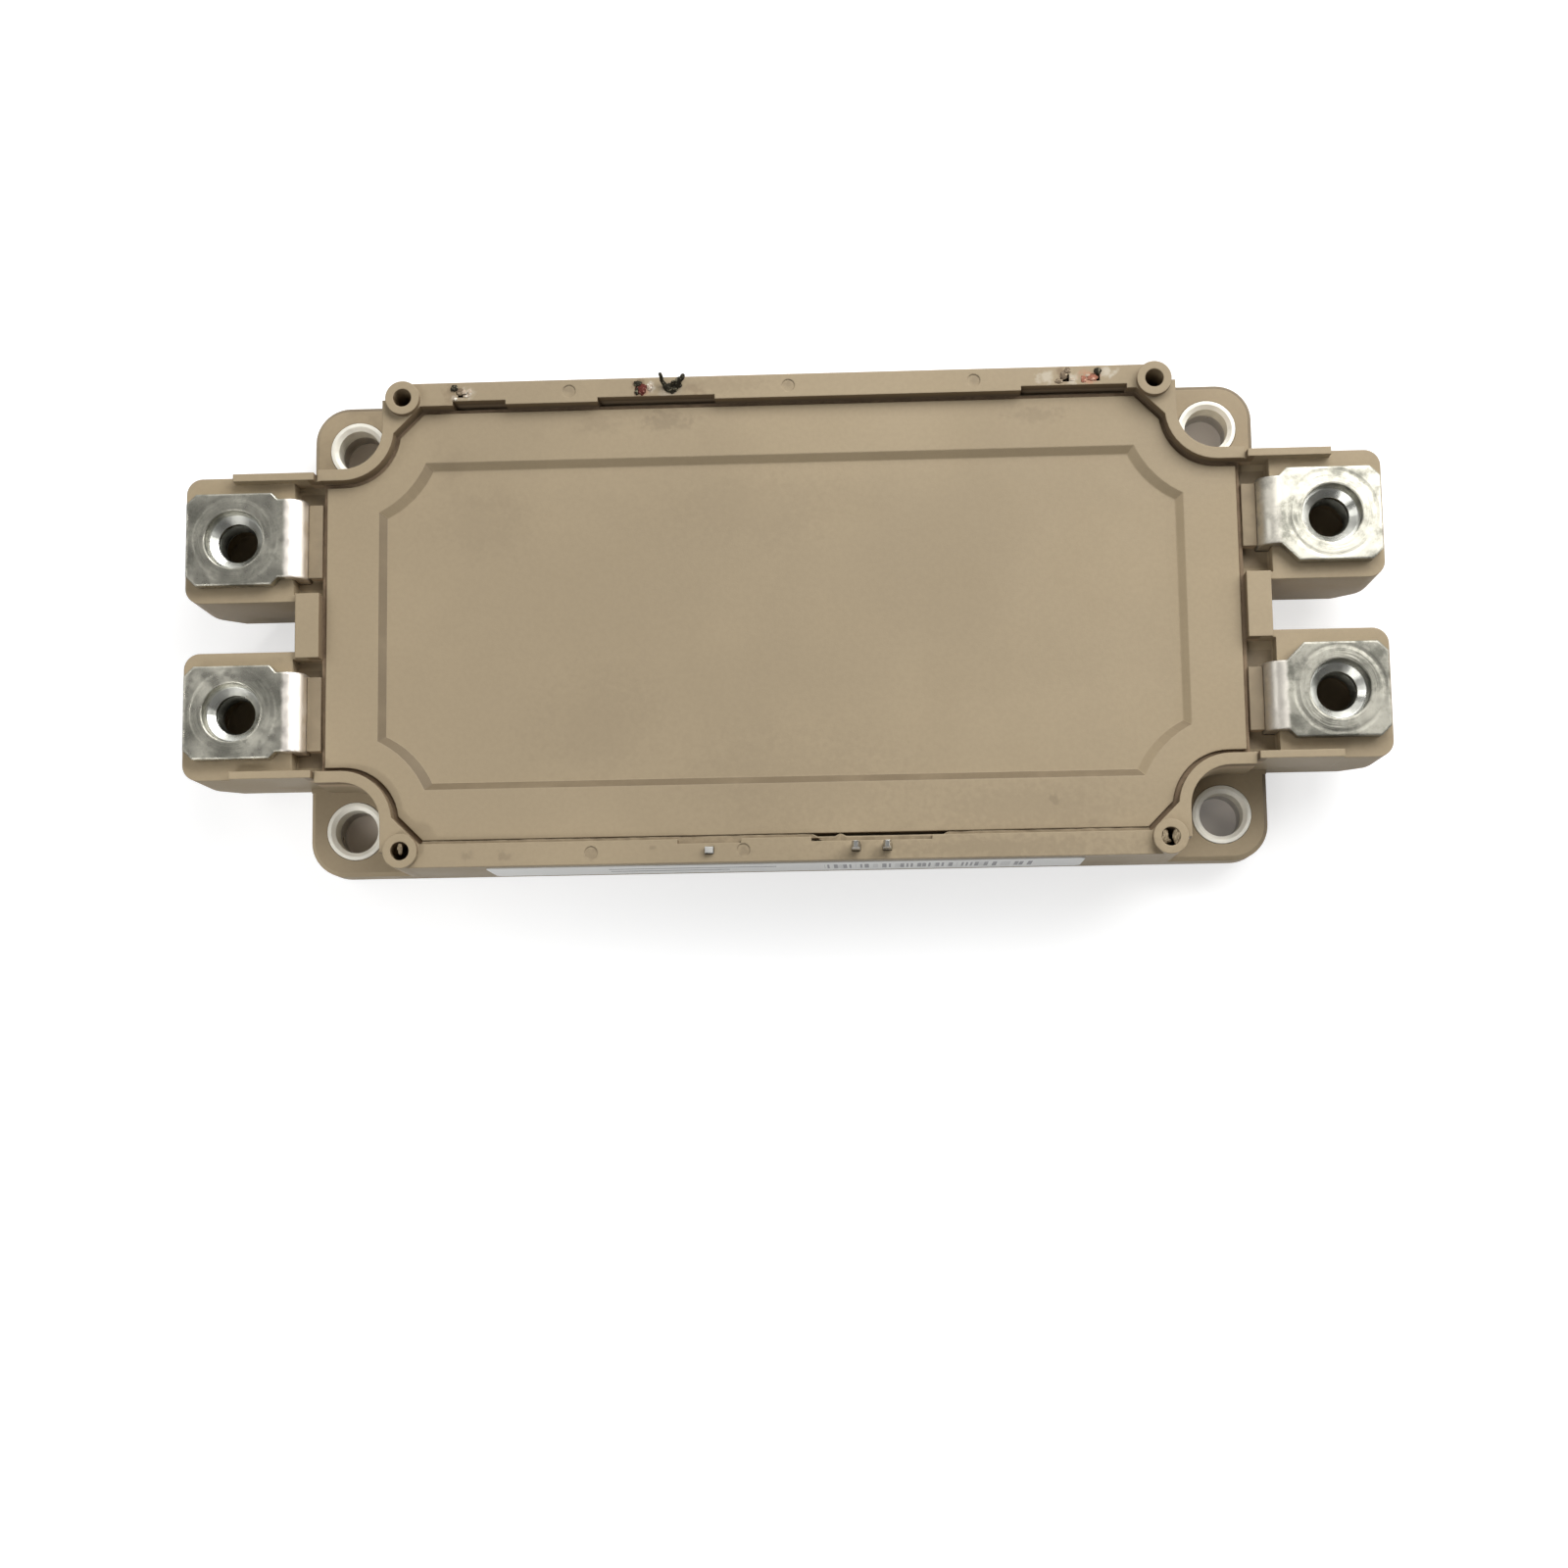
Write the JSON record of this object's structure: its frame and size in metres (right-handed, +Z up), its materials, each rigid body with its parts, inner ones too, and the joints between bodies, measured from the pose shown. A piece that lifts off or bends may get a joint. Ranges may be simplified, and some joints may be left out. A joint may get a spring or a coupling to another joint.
{
  "type": "igbt module",
  "caption": "Flat power semiconductor module with a moulded case, screw terminals at both ends, control pins along the sides and a metal base plate.",
  "frame": {"origin": "centre of the base plate's underside", "axes": "+X along the module towards the phase terminals, +Y across it towards the rear row of pins, +Z up from the heat sink"},
  "size_m": [0.15, 0.0618, 0.0205],
  "materials": {
    "case_plastic": "matt glass-filled moulding",
    "base_metal": "nickel-plated copper plate, satin",
    "adhesive": "cured silicone bead",
    "bush_metal": "zinc-plated steel, satin",
    "nut_metal": "zinc-plated steel",
    "tin_plate": "nickel-plated copper sheet, satin",
    "pin_metal": "tinned copper alloy",
    "solder": "solder layer",
    "copper": "bare copper",
    "ceramic": "unglazed alumina",
    "silicon": "metallised silicon",
    "bond_wire": "drawn aluminium wire",
    "thermistor_body": "sintered ceramic",
    "gel": "clear soft gel",
    "label": "satin white film"
  },
  "bodies": {
    "root": {"case_frame": "case_plastic", "lid": "case_plastic", "base_plate": "base_metal", "case_adhesive": "adhesive", "mounting_bushes": "bush_metal", "terminal_nuts": "nut_metal", "busbar_plus": "tin_plate", "busbar_minus": "tin_plate", "busbar_phase_rear": "tin_plate", "busbar_phase_front": "tin_plate", "control_pin_rear_1": "pin_metal", "control_pin_rear_2": "pin_metal", "control_pin_rear_3": "pin_metal", "control_pin_rear_4": "pin_metal", "control_pin_rear_5": "pin_metal", "control_pin_front_1": "pin_metal", "control_pin_front_2": "pin_metal", "control_pin_front_3": "pin_metal", "substrate_solder_1": "solder", "substrate_solder_2": "solder", "substrate_solder_3": "solder", "substrate_back_copper_1": "copper", "substrate_back_copper_2": "copper", "substrate_back_copper_3": "copper", "substrate_circuit_1": "copper", "substrate_circuit_2": "copper", "substrate_circuit_3": "copper", "substrate_ceramic_1": "ceramic", "substrate_ceramic_2": "ceramic", "substrate_ceramic_3": "ceramic", "igbt_chip_1": "silicon", "igbt_chip_2": "silicon", "igbt_chip_3": "silicon", "igbt_chip_4": "silicon", "igbt_chip_5": "silicon", "igbt_chip_6": "silicon", "diode_chip_1": "silicon", "diode_chip_2": "silicon", "diode_chip_3": "silicon", "diode_chip_4": "silicon", "diode_chip_5": "silicon", "diode_chip_6": "silicon", "chip_bond_wires_1": "bond_wire", "chip_bond_wires_2": "bond_wire", "chip_bond_wires_3": "bond_wire", "link_bond_wires": "bond_wire", "signal_bond_wires": "bond_wire", "thermistor": "thermistor_body", "silicone_gel": "gel", "side_label": "label"}
  },
  "joints": []
}
